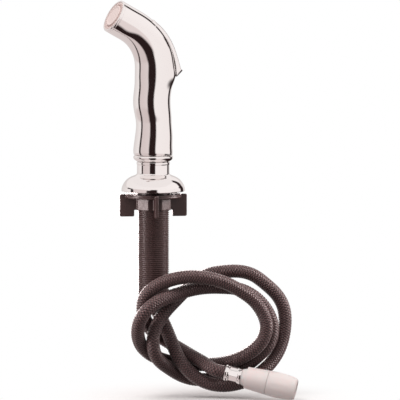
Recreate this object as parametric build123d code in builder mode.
from build123d import *
import math
import os

os.makedirs("parts", exist_ok=True)

# Hand spray standing in its deck holder, with the hose coiled below.
# Frame: +Z up, origin at the centre of the deck hole on the deck's top face.
# The spray head points towards -X, its thumb lever is on the +X side, and the
# XZ plane is the plane of symmetry of the hand spray. All sizes in millimetres.

# ------------------------------------------------------------------ driving sizes
GAP = 0.02               # clearance between pieces that touch

# deck holder
DOME_R = 25.4            # 2 in dome
DOME_BORE_R = 24.1       # inside of the dome's rim
NECK_R, NECK_BORE_R, NECK_TOP = 13.0, 12.1, 23.7
GASKET_IN, GASKET_OUT, GASKET_T = 13.2, 23.9, 1.6
SHANK_FLANGE_R, SHANK_FLANGE_TOP = 22.6, 3.3
SPIGOT_R, SPIGOT_BOTTOM, SPIGOT_TOP = 12.05, 5.2, 22.9
LINER_OUT, LINER_IN, LINER_BOTTOM = 11.45, 10.6, 6.0
LINER_LIP_BOTTOM, LINER_TOP = 22.95, 23.5
# threaded shank
SHANK_R = 12.7           # 1 in over the thread crests
SHANK_BORE_R = 10.7
SHANK_BOTTOM = -82.5
SHANK_CHAMFER = 1.0
THREAD_PITCH = 1.5875    # 16 threads per inch
THREAD_DEPTH = 0.85
THREAD_TOP = -3.0
THREAD_END_MARGIN = 1.5  # least plain length below the thread
# wing nut and its washer
CLAMP_Z = -2.2           # top of the washer
WASHER_T, WASHER_R = 1.1, 21.9
NUT_BORE_R = 12.76
NUT_FLANGE_R, NUT_FLANGE_BOTTOM = 22.4, -5.5
NUT_HUB_R, NUT_HUB_BOTTOM = 14.6, -15.0
WING_COUNT = 4
WING_T, WING_R, WING_BOTTOM, WING_FREE_R = 2.7, 27.0, -20.2, 15.4
WING_ROOT_R = 13.6       # inner edge, inside the hub
WING_ANGLE = 73.6        # first wing about Z, degrees
# hose
BRAID_OUT, BRAID_IN = 5.45, 4.6
TUBE_OUT, TUBE_IN = 3.9, 3.0
HOSE_SPLIT_Z = -75.9     # bottom of the straight run, inside the shank
HOSE_TOP_Z = 18.0
HOSE_PIECES = 16         # lengths the coil's centreline is cut into
FERRULE_IN = 5.55
# hose-end coupling, along its own axis (0 at the mouth of the ferrule)
COUPLING_ORIGIN = Vector(47.507, -34.938, -144.546)
COUPLING_DIR = Vector(0.83909, -0.49711, -0.22093).normalized()
FERRULE_LEN = 13.5
COLLAR_START, COLLAR_END = FERRULE_LEN + 0.05, 34.6
COUPLING_NUT_START, COUPLING_NUT_END = 34.8, 58.6
NIPPLE_R, NIPPLE_BORE_R = 4.0, 2.0
NIPPLE_FLANGE_R, NIPPLE_END = 5.9, 40.0
SUPPLY_R = 6.05          # bore of the coupling nut
# hand spray
HEAD_R = 13.8
HEAD_ANGLE = 60.53       # head axis from +Z towards -X, degrees
FACE_CENTRE = Vector(-34.3, 0.0, 140.9)
BEND_X, BEND_Z = -39.4, 99.8    # centre of the bend from grip to head
SHELL_BOTTOM = 29.2
RING_R, RING_BOTTOM, RING_TOP = 15.9, 23.75, 28.75
CONE_TOP_R, CONE_BOTTOM_R, CONE_BOTTOM = 10.3, 9.7, 9.5
# lever
PIN_X, PIN_Z, PIN_R = -2.8, 131.6, 1.0
PIN_HALF_LEN, PIN_HOLE_HALF_LEN = 9.8, 9.9
LEVER_HALF_W = 8.2
LEVER_WALL = 1.5
POCKET_HALF_W = 8.6
POCKET_BOTTOM = 84.0
# valve, across the grip
VALVE_Z = 100.0
HOUSING_END_X = -10.8
VALVE_INLET_X, VALVE_OUTLET_X = -5.4, 2.4
STEM_R, STEM_TIP_X = 1.5, 16.0
STEM_HEAD_START, STEM_HEAD_END = -3.9, -2.55
SEAT_X = -1.0
CAP_INNER_X = -9.0       # inner face of the valve cap, where the spring starts
SPRING_R, SPRING_WIRE_R, SPRING_TURNS = 2.9, 0.25, 4

# ------------------------------------------------------------------ frames
head_tilt = math.radians(HEAD_ANGLE)
HEAD_DIR = Vector(-math.sin(head_tilt), 0, math.cos(head_tilt))


def turning_frame(origin, x_dir, axis_dir):
    """Sketch plane (x = radius, y = distance along the axis) and the axis to turn about."""
    return Plane(origin=origin, x_dir=x_dir, z_dir=x_dir.cross(axis_dir)), Axis(origin, axis_dir)


UPRIGHT = (Plane.XZ, Axis.Z)
COUPLING = turning_frame(COUPLING_ORIGIN, Vector(0, 0, 1).cross(COUPLING_DIR).normalized(),
                         COUPLING_DIR)
HEAD = turning_frame(FACE_CENTRE, Vector(0, 1, 0), HEAD_DIR)       # y = 0 at the face
VALVE = turning_frame(Vector(0, 0, VALVE_Z), Vector(0, 1, 0), Vector(1, 0, 0))    # y is +X


def head_point(depth):
    """Point on the head's axis at a depth behind the face."""
    return FACE_CENTRE - HEAD_DIR * depth


def head_section(depth):
    """Plane across the head at a depth behind the face, facing outwards."""
    return Plane(origin=head_point(depth), x_dir=(0, 1, 0), z_dir=HEAD_DIR)


def valve_section(x):
    """Plane across the valve's axis, facing +X."""
    return Plane(origin=(x, 0, VALVE_Z), x_dir=(0, 1, 0), z_dir=(1, 0, 0))


def bend_point(radius, degrees):
    """X and Z of a point at a radius from the bend's centre."""
    angle = math.radians(degrees)
    return BEND_X + radius * math.cos(angle), BEND_Z + radius * math.sin(angle)


# ------------------------------------------------------------------ shared builders
def save(part, name):
    """Label a piece and write its STEP file."""
    part.label = name
    export_step(part, f"parts/{name}.step")


def save_turned(name, frame, outline):
    """Piece turned from a straight-sided outline of (radius, distance along the axis)."""
    plane, axis = frame
    with BuildPart() as piece:
        with BuildSketch(plane):
            with BuildLine():
                Polyline(outline + outline[:1])
            make_face()
        revolve(axis=axis)
    save(piece.part, name)


def save_ring(name, start_z, height, outer_r, inner_r):
    """Plain ring about Z; a negative height runs down from start_z."""
    with BuildPart() as piece:
        with BuildSketch(Plane.XY.offset(start_z)):
            Circle(outer_r)
            Circle(inner_r, mode=Mode.SUBTRACT)
        extrude(amount=height)
    save(piece.part, name)


def split_faces(solid):
    """Side faces of a solid, and its flat end faces from the lowest up."""
    side = [f for f in solid.faces() if f.geom_type != GeomType.PLANE]
    flat = [f for f in solid.faces() if f.geom_type == GeomType.PLANE]
    return side, sorted(flat, key=lambda f: f.center().Z)


def hollow_between(outer, inner):
    """Solid between the skins of two solids, closed by a ring at each end."""
    outer_side, outer_ends = split_faces(outer)
    inner_side, inner_ends = split_faces(inner)
    rims = [Face(a.outer_wire(), [b.outer_wire()]) for a, b in zip(outer_ends, inner_ends)]
    return Solid(Shell(outer_side + inner_side + rims))


# ------------------------------------------------------------------ deck holder
with BuildPart() as escutcheon:
    with BuildSketch(Plane.XZ):
        with BuildLine():
            Polyline([(DOME_BORE_R, 0), (DOME_R, 0), (DOME_R, 0.9)])
            Spline((DOME_R, 0.9), (25.2, 2.6), (24.7, 4.2), (23.9, 5.8), (22.9, 7.4), (21.6, 8.9),
                   (19.6, 10.5), (16.6, 12.0), (14.2, 13.0), (NECK_R, 14.6),
                   tangents=((0, 1), (0, 1)))
            Polyline([(NECK_R, 14.6), (NECK_R, 21.2), (13.3, 21.8), (13.3, 23.1),
                      (12.8, NECK_TOP), (NECK_BORE_R, NECK_TOP), (NECK_BORE_R, 11.5)])
            Spline((NECK_BORE_R, 11.5), (15.6, 10.7), (18.7, 9.3), (20.6, 7.8), (21.9, 6.2),
                   (23.0, 4.2), (23.8, 2.0), (DOME_BORE_R, 0.6))
            Line((DOME_BORE_R, 0.6), (DOME_BORE_R, 0))
        make_face()
    revolve(axis=Axis.Z)
save(escutcheon.part, "escutcheon")

save_ring("deck_gasket", 0, GASKET_T, GASKET_OUT, GASKET_IN)

# The thread is a stack of closed grooves, not a helix.
# One groove: (depth below the crest radius, drop below the start of the crest)
THREAD_FORM = [(0, 0), (0, 0.30), (THREAD_DEPTH, 0.72), (THREAD_DEPTH, 0.98), (0, 1.40)]
thread_count = int((THREAD_TOP - (SHANK_BOTTOM + THREAD_END_MARGIN)) / THREAD_PITCH)
thread_outline = [(SHANK_R - depth, THREAD_TOP - i * THREAD_PITCH - drop)
                  for i in range(thread_count) for depth, drop in THREAD_FORM]
shank_outline = [
    (SHANK_BORE_R, SPIGOT_TOP), (SPIGOT_R, SPIGOT_TOP), (SPIGOT_R, SPIGOT_BOTTOM),
    (14.4, SPIGOT_BOTTOM), (17.6, SHANK_FLANGE_TOP), (SHANK_FLANGE_R, SHANK_FLANGE_TOP),
    (SHANK_FLANGE_R, GASKET_T + GAP), (SHANK_R, GASKET_T + GAP),
    *thread_outline,
    (SHANK_R, SHANK_BOTTOM + SHANK_CHAMFER), (SHANK_R - SHANK_CHAMFER, SHANK_BOTTOM),
    (SHANK_BORE_R, SHANK_BOTTOM), (SHANK_BORE_R, SPIGOT_TOP)]
with BuildPart() as holder_shank:
    with BuildSketch(Plane.XZ):
        with BuildLine():
            Polyline(shank_outline)
        make_face()
    revolve(axis=Axis.Z)
    # counterbore for the liner
    with BuildSketch(Plane.XY.offset(LINER_BOTTOM)):
        Circle(LINER_OUT + 0.03)
    extrude(amount=30, mode=Mode.SUBTRACT)
save(holder_shank.part, "holder_shank")

save_turned("holder_liner", UPRIGHT, [
    (LINER_IN, LINER_BOTTOM + GAP), (LINER_OUT, LINER_BOTTOM + GAP),
    (LINER_OUT, LINER_LIP_BOTTOM), (SPIGOT_R, LINER_LIP_BOTTOM), (SPIGOT_R, LINER_TOP),
    (LINER_IN + 0.5, LINER_TOP), (LINER_IN, 22.8)])

# ------------------------------------------------------------------ wing nut
save_ring("friction_washer", CLAMP_Z, -WASHER_T, WASHER_R, SHANK_R + 0.2)

nut_top = CLAMP_Z - WASHER_T - GAP
wing_top = CLAMP_Z - 0.05        # the wings' outer ends rise past the washer's rim
wing_step_r = WASHER_R + 0.3
wing_inner_bottom = NUT_HUB_BOTTOM + 0.1
with BuildPart() as wing_nut:
    with BuildSketch(Plane.XY.offset(nut_top)):
        Circle(NUT_FLANGE_R)
    extrude(amount=NUT_FLANGE_BOTTOM - nut_top)
    fillet(wing_nut.faces().sort_by(Axis.Z)[0].edges(), 1.2)
    # octagonal hub, with a wing at the middle of every second flat
    with BuildSketch(Plane.XY.offset(nut_top)):
        with Locations(Rot(0, 0, WING_ANGLE + 22.5)):
            RegularPolygon(NUT_HUB_R, 8)
    extrude(amount=NUT_HUB_BOTTOM - nut_top)
    for k in range(WING_COUNT):
        angle = math.radians(WING_ANGLE + 360 / WING_COUNT * k)
        radial = Plane(origin=(0, 0, 0), x_dir=(math.cos(angle), math.sin(angle), 0),
                       z_dir=(math.sin(angle), -math.cos(angle), 0))
        with BuildSketch(radial):
            with BuildLine():
                Polyline([(WING_ROOT_R, nut_top), (wing_step_r, nut_top), (wing_step_r, wing_top),
                          (WING_R, wing_top), (WING_R, WING_BOTTOM), (WING_FREE_R, WING_BOTTOM),
                          (WING_FREE_R, wing_inner_bottom), (WING_ROOT_R, wing_inner_bottom),
                          (WING_ROOT_R, nut_top)])
            make_face()
            fillet(vertices().filter_by(lambda v: abs(v.Z - WING_BOTTOM) < 0.01), 0.7)
        extrude(amount=WING_T / 2, both=True)
    with BuildSketch(Plane.XY.offset(5)):
        Circle(NUT_BORE_R)
    extrude(amount=-40, mode=Mode.SUBTRACT)
save(wing_nut.part, "wing_nut")

# ------------------------------------------------------------------ hose
# Centreline (X, Y, Z) of the coiled hose, from inside the shank to inside the ferrule.
HOSE_PATH = [
    (0.00, 0.00, -76.20), (0.00, 0.00, -78.40), (0.00, 0.00, -80.80), (0.10, -0.04, -83.40),
    (2.00, -0.95, -93.94), (6.51, -3.73, -104.69), (10.52, -6.72, -115.58), (13.96, -10.31, -126.52),
    (18.35, -14.02, -137.07), (25.89, -16.40, -146.15), (35.29, -19.91, -152.75), (46.11, -23.89, -155.90),
    (57.87, -26.57, -155.66), (69.11, -29.39, -152.46), (78.89, -32.90, -146.55), (88.50, -32.49, -138.85),
    (95.57, -32.42, -129.17), (99.35, -33.07, -117.91), (100.55, -33.92, -105.91), (99.17, -33.47, -94.04),
    (93.90, -31.17, -83.66), (85.87, -27.78, -75.37), (76.78, -24.15, -68.35), (66.33, -20.00, -65.27),
    (55.45, -14.84, -65.56), (45.19, -9.23, -67.72), (35.39, -5.58, -73.36), (25.61, -5.61, -80.42),
    (15.63, -9.72, -87.28), (6.63, -13.60, -93.73), (-0.55, -14.06, -102.21), (-5.55, -14.42, -113.21),
    (-6.15, -14.87, -125.08), (-0.12, -12.02, -135.02), (9.40, -7.82, -141.59), (19.45, -4.65, -147.49),
    (30.53, -5.38, -151.76), (41.84, -9.13, -152.54), (52.64, -13.86, -150.26), (62.65, -18.96, -146.07),
    (71.76, -24.36, -140.32), (79.15, -30.38, -132.60), (85.77, -34.61, -123.62), (88.78, -35.56, -112.40),
    (86.67, -34.43, -100.92), (80.59, -32.39, -90.78), (71.80, -29.93, -83.04), (61.06, -27.70, -78.49),
    (49.28, -26.41, -77.01), (37.37, -25.24, -76.62), (25.41, -23.90, -77.73), (13.82, -23.83, -80.20),
    (2.19, -24.52, -83.46), (-9.09, -25.15, -87.61), (-17.59, -23.92, -94.93), (-20.65, -18.80, -104.84),
    (-18.14, -11.50, -114.85), (-12.01, -5.08, -123.93), (-3.44, -1.70, -130.85), (6.97, 1.66, -135.52),
    (17.88, 3.69, -138.71), (28.68, 1.19, -140.69), (38.59, -5.52, -140.84), (47.00, -14.05, -139.94),
    (54.76, -22.82, -137.81), (62.98, -30.57, -133.75), (71.15, -37.14, -127.53), (77.72, -41.54, -118.57),
    (79.99, -43.08, -107.38), (76.34, -42.39, -96.03), (69.05, -41.65, -86.63), (59.49, -40.73, -79.61),
    (49.17, -38.89, -73.67), (38.23, -36.19, -69.61), (26.89, -32.83, -67.49), (15.61, -28.88, -67.27),
    (4.72, -24.41, -69.60), (-5.33, -19.79, -74.33), (-12.84, -15.38, -82.37), (-13.65, -10.97, -93.00),
    (-9.19, -5.29, -102.65), (-2.07, 1.01, -110.69), (6.98, 4.81, -117.30), (16.12, 3.65, -123.30),
    (23.27, -3.17, -128.44), (29.12, -12.09, -133.16), (35.76, -21.43, -138.32), (41.633, -31.458, -142.999),
    (44.654, -33.248, -143.795), (47.507, -34.938, -144.546), (50.024, -36.429, -145.209),
    (52.542, -37.921, -145.872), (55.059, -39.412, -146.534), (57.912, -41.102, -147.286),
]
hose_curve = Spline(*HOSE_PATH)
hose_wire = Wire([hose_curve.trim(i / HOSE_PIECES, (i + 1) / HOSE_PIECES)
                  for i in range(HOSE_PIECES)])
hose_start = Plane(origin=hose_curve @ 0, z_dir=hose_curve % 0)


def hose_rod(radius):
    """Solid rod along the coil."""
    return Solid.sweep(Face(Wire.make_circle(radius, hose_start)), hose_wire)


# Each layer is a coil below the shank and a straight riser inside it.
for layer, outer_r, inner_r in [("braid", BRAID_OUT, BRAID_IN), ("tube", TUBE_OUT, TUBE_IN)]:
    coil_layer = hollow_between(hose_rod(outer_r), hose_rod(inner_r))
    with BuildPart() as hose_coil:
        add(coil_layer)
    save(hose_coil.part, f"hose_coil_{layer}")
    save_ring(f"hose_riser_{layer}", HOSE_SPLIT_Z, HOSE_TOP_Z - HOSE_SPLIT_Z, outer_r, inner_r)

# ------------------------------------------------------------------ lower hose end and coupling
ferrule_neck_r = NIPPLE_R + 0.05
save_turned("lower_ferrule", COUPLING, [
    (FERRULE_IN, 0), (6.7, 0), (6.7, 1.6), (6.25, 2.4), (6.25, 11.4), (6.5, 12.0),
    (6.5, FERRULE_LEN), (ferrule_neck_r, FERRULE_LEN), (ferrule_neck_r, 12.75),
    (FERRULE_IN, 12.75)])

# barbed end, plain neck, end flange
save_turned("lower_nipple", COUPLING, [
    (NIPPLE_BORE_R, 1.0), (2.6, 1.0), (2.9, 3.0), (2.6, 3.2), (2.9, 5.2), (2.6, 5.4), (2.9, 7.4),
    (2.9, 12.7), (NIPPLE_R, 12.7), (NIPPLE_R, 38.0), (NIPPLE_FLANGE_R, 38.0),
    (NIPPLE_FLANGE_R, NIPPLE_END), (NIPPLE_BORE_R, NIPPLE_END)])

collar_bore_r = NIPPLE_R + GAP
save_turned("coupling_collar", COUPLING, [
    (collar_bore_r, COLLAR_START), (5.9, COLLAR_START), (7.0, 16.2), (7.0, 17.2), (8.5, 17.2),
    (8.8, 17.5), (9.9, COLLAR_END), (collar_bore_r, COLLAR_END)])

save_turned("coupling_washer", COUPLING, [
    (2.6, NIPPLE_END + GAP), (NIPPLE_FLANGE_R, NIPPLE_END + GAP), (NIPPLE_FLANGE_R, 42.0),
    (2.6, 42.0)])

coupling_plane, coupling_axis = COUPLING
nut_neck_r = NIPPLE_R + 0.07
with BuildPart() as coupling_nut:
    with BuildSketch(coupling_plane):
        with BuildLine():
            Line((nut_neck_r, COUPLING_NUT_START), (9.95, COUPLING_NUT_START))
            Spline((9.95, COUPLING_NUT_START), (10.3, 40.5), (10.25, 46.0), (9.75, 52.0),
                   (8.9, 57.0), tangents=((0.06, 1), (-0.2, 1)))
            Polyline([(8.9, 57.0), (7.9, COUPLING_NUT_END), (SUPPLY_R, COUPLING_NUT_END),
                      (SUPPLY_R, 44.0), (6.4, 43.6), (6.4, 37.9), (nut_neck_r, 37.9),
                      (nut_neck_r, COUPLING_NUT_START)])
        make_face()
    revolve(axis=coupling_axis)
save(coupling_nut.part, "coupling_nut")

# ------------------------------------------------------------------ upper hose end
save_turned("upper_ferrule", UPRIGHT, [
    (FERRULE_IN, 6.0), (6.6, 6.0), (6.6, 7.4), (6.3, 8.2), (6.3, 17.6), (6.5, 18.1),
    (6.5, 18.75), (3.05, 18.75), (3.05, 18.1), (FERRULE_IN, 18.1)])

# barbed end, flange, grooved tip for the O-ring
GROOVE_BOTTOM, GROOVE_TOP = 24.4, 26.2
save_turned("upper_nipple", UPRIGHT, [
    (NIPPLE_BORE_R, 4.0), (2.6, 4.0), (2.95, 6.0), (2.6, 6.2), (2.95, 8.2), (2.6, 8.4),
    (2.95, 10.4), (2.95, 19.1), (8.6, 19.1), (8.6, 21.1), (3.3, 21.1), (3.3, GROOVE_BOTTOM),
    (2.55, GROOVE_BOTTOM), (2.55, GROOVE_TOP), (3.3, GROOVE_TOP), (3.3, 27.2), (3.0, 27.5),
    (NIPPLE_BORE_R, 27.5)])

with BuildPart() as swivel_oring:
    with BuildSketch(Plane.XZ):
        with Locations((3.35, (GROOVE_BOTTOM + GROOVE_TOP) / 2)):
            Circle(0.75)
    revolve(axis=Axis.Z)
save(swivel_oring.part, "swivel_oring")

# ------------------------------------------------------------------ hand spray, lower end
CONNECTOR_BORE_R, CONNECTOR_SLEEVE_R, CONNECTOR_TOP = 7.0, 12.85, 35.0
with BuildPart() as connector_nut:
    with BuildSketch(Plane.XZ):
        with BuildLine():
            Polyline([(CONNECTOR_BORE_R, CONE_BOTTOM), (CONE_BOTTOM_R, CONE_BOTTOM),
                      (CONE_TOP_R, RING_BOTTOM), (12.5, RING_BOTTOM)])
            Spline((12.5, RING_BOTTOM), (13.7, 24.3), (15.0, 25.3), (RING_R, 26.9), (15.6, 28.1),
                   (14.9, RING_TOP), tangents=((1, 0.1), (-1, 0.3)))
            Polyline([(14.9, RING_TOP), (CONNECTOR_SLEEVE_R, RING_TOP),
                      (CONNECTOR_SLEEVE_R, CONNECTOR_TOP), (11.0, CONNECTOR_TOP), (11.0, 24.72),
                      (8.8, 24.72), (8.8, 19.0), (CONNECTOR_BORE_R, 19.0),
                      (CONNECTOR_BORE_R, CONE_BOTTOM)])
        make_face()
    revolve(axis=Axis.Z)
save(connector_nut.part, "connector_nut")

save_ring("swivel_washer", start_z=21.18, height=1.45, outer_r=8.5, inner_r=3.5)

# disc with a centre hole and six holes around it
SCREEN_BOTTOM, SCREEN_T, SCREEN_R = 27.65, 0.3, 4.12
SCREEN_HOLE_R, SCREEN_CENTRE_HOLE_R, SCREEN_HOLE_CIRCLE_R = 0.7, 0.8, 2.4
with BuildPart() as inlet_screen:
    with BuildSketch(Plane.XY.offset(SCREEN_BOTTOM)):
        Circle(SCREEN_R)
        with PolarLocations(SCREEN_HOLE_CIRCLE_R, 6):
            Circle(SCREEN_HOLE_R, mode=Mode.SUBTRACT)
        Circle(SCREEN_CENTRE_HOLE_R, mode=Mode.SUBTRACT)
    extrude(amount=SCREEN_T)
save(inlet_screen.part, "inlet_screen")

# turned foot, then a tube that bends over to the valve's inlet
INLET_RUN_Z = 30.5
INLET_TUBE_OUT, INLET_TUBE_IN = 3.8, 2.9
with BuildPart() as inlet_tube:
    with BuildSketch(Plane.XZ):
        with BuildLine():
            Polyline([(4.2, 22.68), (8.7, 22.68), (8.7, 24.68), (5.4, 24.68), (5.4, 31.0),
                      (3.0, 31.0), (3.0, 28.0), (4.2, 28.0), (4.2, 22.68)])
        make_face()
    revolve(axis=Axis.Z)
    with BuildLine() as inlet_run:
        Spline((0, 0, INLET_RUN_Z), (0, 0, 34.0), (-0.5, 0, 44.0), (-2.7, 0, 60.0),
               (-4.9, 0, 76.0), (VALVE_INLET_X, 0, 86.0), (VALVE_INLET_X, 0, 90.2))
    with BuildSketch(Plane.XY.offset(INLET_RUN_Z)):
        Circle(INLET_TUBE_OUT)
        Circle(INLET_TUBE_IN, mode=Mode.SUBTRACT)
    sweep(path=inlet_run.line)
save(inlet_tube.part, "inlet_tube")

# ring with a hexagonal hole
HEX_HALF_FLATS = 5.6
with BuildPart() as inlet_ring:
    with BuildSketch(Plane.XY.offset(24.76)):
        Circle(10.9)
        RegularPolygon(HEX_HALF_FLATS / math.cos(math.pi / 6), 6, mode=Mode.SUBTRACT)
    extrude(amount=2.4)
save(inlet_ring.part, "inlet_ring")

# ------------------------------------------------------------------ hand spray shell
# Straight sections, from the bottom up: X and Z of the centre, tilt in degrees,
# half depth in the plane of symmetry, half width along Y.
SHELL_GRIP = [
    (0.00, SHELL_BOTTOM, 0, 15.45, 15.44),
    (-0.10, 30.6, 0, 15.70, 15.69),
    (-0.20, 33.0, 0, 15.70, 15.69),
    (0.00, 37.7, 0, 15.40, 15.39),
    (0.50, 44.1, 0, 15.00, 14.95),
    (0.60, 53.8, 0, 14.25, 14.20),
    (0.00, 60.2, 0, 14.55, 14.50),
    (-0.90, 66.6, 0, 14.90, 14.60),
    (-1.00, 76.2, 0, 15.00, 14.55),
    (0.40, 84.0, 0, 15.50, 14.40),
    (2.20, 92.3, 0, 17.10, 14.30),
]
CAVITY_GRIP = [
    (0.00, SHELL_BOTTOM, 0, 12.80, 12.81),
    (0.00, 35.0, 0, 12.80, 12.81),
    (0.30, 41.0, 0, 12.80, 12.85),
    (0.60, 53.8, 0, 12.30, 12.35),
    (-0.40, 62.0, 0, 12.50, 12.55),
    (-1.40, 72.0, 0, 12.20, 12.50),
    (-1.90, 80.0, 0, 11.50, 12.40),
    (-1.90, 92.0, 0, 11.30, 12.40),
]
# Sections round the bend: degrees, least and greatest radius from its centre, half width.
SHELL_BEND = [
    (0, 24.6, 57.9, 14.30), (13.5, 24.6, 56.8, 14.25), (22.6, 24.6, 55.9, 14.20),
    (35.7, 24.6, 54.3, 14.10), (46.0, 24.6, 53.2, 14.00), (53.0, 24.6, 52.6, 13.88),
    (HEAD_ANGLE, 24.6, 52.2, 13.79),
]
CAVITY_BEND = [
    (0, 26.5, 49.0, 12.40), (13.5, 26.4, 48.0, 12.30), (22.6, 26.4, 47.4, 12.20),
    (35.7, 26.4, 44.9, 12.10), (46.0, 26.4, 43.8, 12.00), (54.0, 26.4, 47.0, 12.00),
    (HEAD_ANGLE, 26.5, 50.1, 12.02),
]
HEAD_SECTION_DEPTHS = (9.0, 2.0)     # behind the face


def shell_loft(grip, bend, head_half_depth, head_half_width, along_y):
    """Smooth loft through elliptical sections; along_y starts each ellipse on the Y side."""
    sections = list(grip)
    for degrees, r_in, r_out, half_width in bend:
        x, z = bend_point((r_in + r_out) / 2, degrees)
        sections.append((x, z, degrees, (r_out - r_in) / 2, half_width))
    for depth in HEAD_SECTION_DEPTHS:
        centre = head_point(depth)
        sections.append((centre.X, centre.Z, HEAD_ANGLE, head_half_depth, head_half_width))
    loops = []
    for x, z, tilt, half_depth, half_width in sections:
        angle = math.radians(tilt)
        if along_y:
            x_dir, radii = (0, 1, 0), (half_width, half_depth)
        else:
            x_dir, radii = (math.cos(angle), 0, math.sin(angle)), (half_depth, half_width)
        place = Plane(origin=(x, 0, z), x_dir=x_dir, z_dir=(-math.sin(angle), 0, math.cos(angle)))
        loops.append(Wire([Edge.make_ellipse(*radii, plane=place)]))
    return Solid.make_loft(loops)


hollow_body = hollow_between(
    shell_loft(SHELL_GRIP, SHELL_BEND, HEAD_R, HEAD_R - 0.001, along_y=False),
    shell_loft(CAVITY_GRIP, CAVITY_BEND, 12.0, 12.02, along_y=True))

# Floor of the lever's pocket in the plane of symmetry, as (X, Z).
POCKET_FLOOR_X = 12.4
POCKET_TOP_ANGLE = 46.5          # about the bend's centre, degrees
CUT_X = 30                       # clear of the shell on the +X side
pocket_floor = [(POCKET_FLOOR_X, POCKET_BOTTOM), (POCKET_FLOOR_X, 104.0)] + [
    bend_point(radius, degrees) for radius, degrees in [
        (50.6, 13.5), (49.2, 22.6), (46.8, 35.7), (45.6, 41.0), (45.6, POCKET_TOP_ANGLE)]]
NOTCH_BOTTOM, NOTCH_TOP = 72.5, 90.2

with BuildPart() as spray_shell:
    add(hollow_body)
    # round bore at the bottom
    with BuildSketch(Plane.XY.offset(SHELL_BOTTOM - 1)):
        Circle(12.9)
    extrude(amount=7.8, mode=Mode.SUBTRACT)
    # seat of the spray face
    with BuildSketch(head_section(5.0)):
        Circle(12.8)
    extrude(amount=10, mode=Mode.SUBTRACT)
    # pocket of the lever
    with BuildSketch(Plane.XZ):
        with BuildLine():
            Polyline(pocket_floor + [bend_point(62, POCKET_TOP_ANGLE), (CUT_X, 125),
                                     (CUT_X, POCKET_BOTTOM), (POCKET_FLOOR_X, POCKET_BOTTOM)])
        make_face()
    extrude(amount=POCKET_HALF_W, both=True, mode=Mode.SUBTRACT)
    # thumb notch
    with BuildSketch(Plane.XZ):
        with BuildLine():
            Spline((CUT_X, NOTCH_TOP), (17.5, 89.0), (14.4, 86.6), (12.9, 83.2), (12.9, 80.0),
                   (14.4, 76.4), (20, NOTCH_BOTTOM))
            Polyline([(20, NOTCH_BOTTOM), (CUT_X, NOTCH_BOTTOM), (CUT_X, NOTCH_TOP)])
        make_face()
    extrude(amount=25, both=True, mode=Mode.SUBTRACT)
    # hole for the valve stem, blind holes for the lever pin
    with BuildSketch(valve_section(7)):
        Circle(STEM_R + 0.5)
    extrude(amount=8, mode=Mode.SUBTRACT)
    with BuildSketch(Plane.XZ):
        with Locations((PIN_X, PIN_Z)):
            Circle(PIN_R + GAP)
    extrude(amount=PIN_HOLE_HALF_LEN, both=True, mode=Mode.SUBTRACT)
save(spray_shell.part, "spray_shell")

# ------------------------------------------------------------------ thumb lever
with BuildPart() as thumb_lever:
    with BuildSketch(Plane.XZ):
        with BuildLine():
            # outer curve, upper end, inner curve, lower end
            Spline((23.0, 95.7), (21.5, 101.6), (19.8, 107.0), (16.6, 115.7), (12.2, 123.9),
                   (7.8, 129.6), (3.4, 133.9), (-1.0, 137.2))
            Polyline([(-1.0, 137.2), (-2.6, 137.4), (-5.6, 134.2), (-5.8, 131.5), (-3.8, 129.3),
                      (-1.4, 129.9)])
            Spline((-1.4, 129.9), (2.6, 127.2), (8.8, 120.2), (12.8, 111.4), (15.7, 100.6),
                   (16.5, 91.2))
            Polyline([(16.5, 91.2), (17.5, 91.6), (23.0, 95.7)])
        make_face()
    extrude(amount=LEVER_HALF_W, both=True)
    # round the long edges of the outer curve
    fillet(thumb_lever.edges().filter_by(
        lambda e: abs(abs(e.center().Y) - LEVER_HALF_W) < 0.01 and e.center().X > 8
        and e.length > 30 and e.center().X + 0.45 * e.center().Z > 62), 1.8)
    # hollow underside
    with BuildSketch(Plane.XZ):
        with BuildLine():
            Polyline([(20.2, 97.4), (18.9, 103.5), (16.9, 109.2), (13.2, 117.8), (9.0, 124.0),
                      (5.0, 128.0), (2.2, 125.6), (8.0, 118.6), (11.6, 110.6), (14.4, 100.0),
                      (14.6, 94.6), (17.6, 94.6), (20.2, 97.4)])
        make_face()
    extrude(amount=LEVER_HALF_W - LEVER_WALL, both=True, mode=Mode.SUBTRACT)
    # pad that pushes the valve stem
    with BuildSketch(valve_section(STEM_TIP_X + 0.1)):
        Circle(2.2)
    extrude(amount=4.0)
    # hole for the lever pin
    with BuildSketch(Plane.XZ):
        with Locations((PIN_X, PIN_Z)):
            Circle(PIN_R + 0.06)
    extrude(amount=20, both=True, mode=Mode.SUBTRACT)
save(thumb_lever.part, "thumb_lever")

with BuildPart() as lever_pin:
    with BuildSketch(Plane.XZ):
        with Locations((PIN_X, PIN_Z)):
            Circle(PIN_R)
    extrude(amount=PIN_HALF_LEN, both=True)
save(lever_pin.part, "lever_pin")

# ------------------------------------------------------------------ valve
valve_plane, valve_axis = VALVE
stem_bore_r = STEM_R + 0.05
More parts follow.
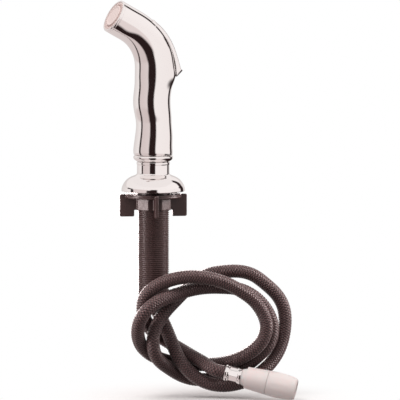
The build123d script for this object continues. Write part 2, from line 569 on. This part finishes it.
# Upright cylinders on the housing: X, bottom Z, radius, height.
PORT_BOSSES = [(VALVE_INLET_X, 86.0, 5.0, 9.0), (VALVE_OUTLET_X, 104.0, 4.4, 6.4)]
PORT_BORES = [(VALVE_INLET_X, 85.0, 3.85, 5.5), (VALVE_INLET_X, 90.0, 2.8, 8.0),
              (VALVE_OUTLET_X, 101.0, 1.5, 8.0), (VALVE_OUTLET_X, 108.0, 3.5, 6.0)]
with BuildPart() as valve_housing:
    with BuildSketch(valve_plane):
        with BuildLine():
            Polyline([(0, HOUSING_END_X), (7.0, HOUSING_END_X), (7.0, 7.0), (3.6, 7.0),
                      (3.6, 8.7), (0, 8.7), (0, HOUSING_END_X)])
        make_face()
    revolve(axis=valve_axis)
    for x, bottom, radius, height in PORT_BOSSES:
        with BuildSketch(Plane.XY.offset(bottom)):
            with Locations((x, 0)):
                Circle(radius)
        extrude(amount=height)
    # stepped bore: chamber, seat opening, groove of the stem seal
    with BuildSketch(valve_plane):
        with BuildLine():
            Polyline([(0, -12.0), (5.2, -12.0), (5.2, SEAT_X), (2.6, SEAT_X), (2.6, 0.8),
                      (4.0, 0.8), (4.0, 4.4), (stem_bore_r, 4.4), (stem_bore_r, 5.2), (2.9, 5.2),
                      (2.9, 6.8), (stem_bore_r, 6.8), (stem_bore_r, 12.0), (0, 12.0), (0, -12.0)])
        make_face()
    revolve(axis=valve_axis, mode=Mode.SUBTRACT)
    for x, bottom, radius, height in PORT_BORES:
        with BuildSketch(Plane.XY.offset(bottom)):
            with Locations((x, 0)):
                Circle(radius)
        extrude(amount=height, mode=Mode.SUBTRACT)
save(valve_housing.part, "valve_housing")

save_turned("valve_cap", VALVE, [
    (0, HOUSING_END_X), (5.15, HOUSING_END_X), (5.15, CAP_INNER_X), (2.2, CAP_INNER_X),
    (2.2, -7.6), (0, -7.6)])

with BuildPart() as valve_stem:
    with BuildSketch(valve_plane):
        with BuildLine():
            Polyline([(0, STEM_HEAD_START), (3.6, STEM_HEAD_START), (3.6, STEM_HEAD_END),
                      (STEM_R, STEM_HEAD_END), (STEM_R, STEM_TIP_X - 0.8)])
            Spline((STEM_R, STEM_TIP_X - 0.8), (1.0, STEM_TIP_X - 0.22), (0, STEM_TIP_X),
                   tangents=((0, 1), (-1, 0)))
            Line((0, STEM_TIP_X), (0, STEM_HEAD_START))
        make_face()
    revolve(axis=valve_axis)
save(valve_stem.part, "valve_stem")

save_turned("valve_poppet", VALVE, [
    (STEM_R + GAP, STEM_HEAD_END + GAP), (4.3, STEM_HEAD_END + GAP), (4.3, SEAT_X - GAP),
    (STEM_R + GAP, SEAT_X - GAP)])

with BuildPart() as stem_seal:
    with BuildSketch(valve_plane):
        with Locations((2.22, 6.0)):
            Circle(0.64)
    revolve(axis=valve_axis)
save(stem_seal.part, "stem_seal")

# spring between the valve cap and the stem's head
spring_inset = SPRING_WIRE_R + 0.03
spring_start = CAP_INNER_X + spring_inset
spring_length = STEM_HEAD_START - spring_inset - spring_start
with BuildPart() as valve_spring:
    with BuildLine() as coil:
        Helix(spring_length / SPRING_TURNS, spring_length, SPRING_R,
              center=(spring_start, 0, VALVE_Z), direction=(1, 0, 0))
    with BuildSketch(Plane(origin=coil.line @ 0, z_dir=coil.line % 0)):
        Circle(SPRING_WIRE_R)
    sweep(path=coil.line, is_frenet=True)
save(valve_spring.part, "valve_spring")

# ------------------------------------------------------------------ head
HEAD_TUBE_OUT, HEAD_TUBE_IN = 3.35, 2.4
tube_bend_end = head_point(16.5)
tube_end = head_point(12.0)
with BuildPart() as head_tube:
    with BuildLine() as head_run:
        Spline((VALVE_OUTLET_X, 0, 108.3), (VALVE_OUTLET_X, 0, 109.9), (2.2, 0, 112.0),
               (0.4, 0, 115.6), (-3.6, 0, 119.6), (-8.6, 0, 124.2), (-14.0, 0, 128.8),
               (tube_bend_end.X, 0, tube_bend_end.Z), (tube_end.X, 0, tube_end.Z))
    with BuildSketch(Plane(origin=head_run.line @ 0, z_dir=head_run.line % 0)):
        Circle(HEAD_TUBE_OUT)
        Circle(HEAD_TUBE_IN, mode=Mode.SUBTRACT)
    sweep(path=head_run.line)
save(head_tube.part, "head_tube")

save_turned("face_cup", HEAD, [
    (3.42, -14.0), (4.6, -14.0), (4.6, -11.0), (11.2, -9.4), (11.2, -4.98), (12.6, -4.98),
    (12.6, -4.2), (10.7, -4.2), (10.7, -8.4), (2.4, -10.2), (2.4, -11.9), (3.42, -11.9)])

save_turned("face_gasket", HEAD, [(10.9, -4.15), (12.6, -4.15), (12.6, -3.2), (10.9, -3.2)])

# disc with a ring of nozzles and a centre hole for the cap's stud
NOZZLE_COUNT, NOZZLE_R, NOZZLE_CIRCLE_R = 24, 0.45, 10.9
CAP_STUD_R = 1.5
head_plane, head_axis = HEAD
nozzle_plane = head_section(4.0)
with BuildPart() as spray_face:
    with BuildSketch(head_plane):
        with BuildLine():
            Polyline([(0, -3.1), (12.7, -3.1), (12.7, -0.6), (9.7, -0.6), (9.3, -1.3), (0, -1.3),
                      (0, -3.1)])
        make_face()
    revolve(axis=head_axis)
    with BuildSketch(nozzle_plane):
        with PolarLocations(NOZZLE_CIRCLE_R, NOZZLE_COUNT):
            Circle(NOZZLE_R)
    extrude(amount=6, mode=Mode.SUBTRACT)
    with BuildSketch(nozzle_plane):
        Circle(CAP_STUD_R + GAP)
    extrude(amount=6, mode=Mode.SUBTRACT)
save(spray_face.part, "spray_face")

save_turned("face_cap", HEAD, [
    (0, -3.0), (CAP_STUD_R, -3.0), (CAP_STUD_R, -1.28), (9.2, -1.28), (9.2, -0.15), (8.9, 0.15),
    (0, 0.35)])

save_turned("face_bezel", HEAD, [
    (12.75, -1.98), (HEAD_R, -1.98), (HEAD_R, -0.5), (13.3, 0), (12.5, 0), (12.35, -0.15),
    (12.35, -0.55), (12.75, -0.55)])
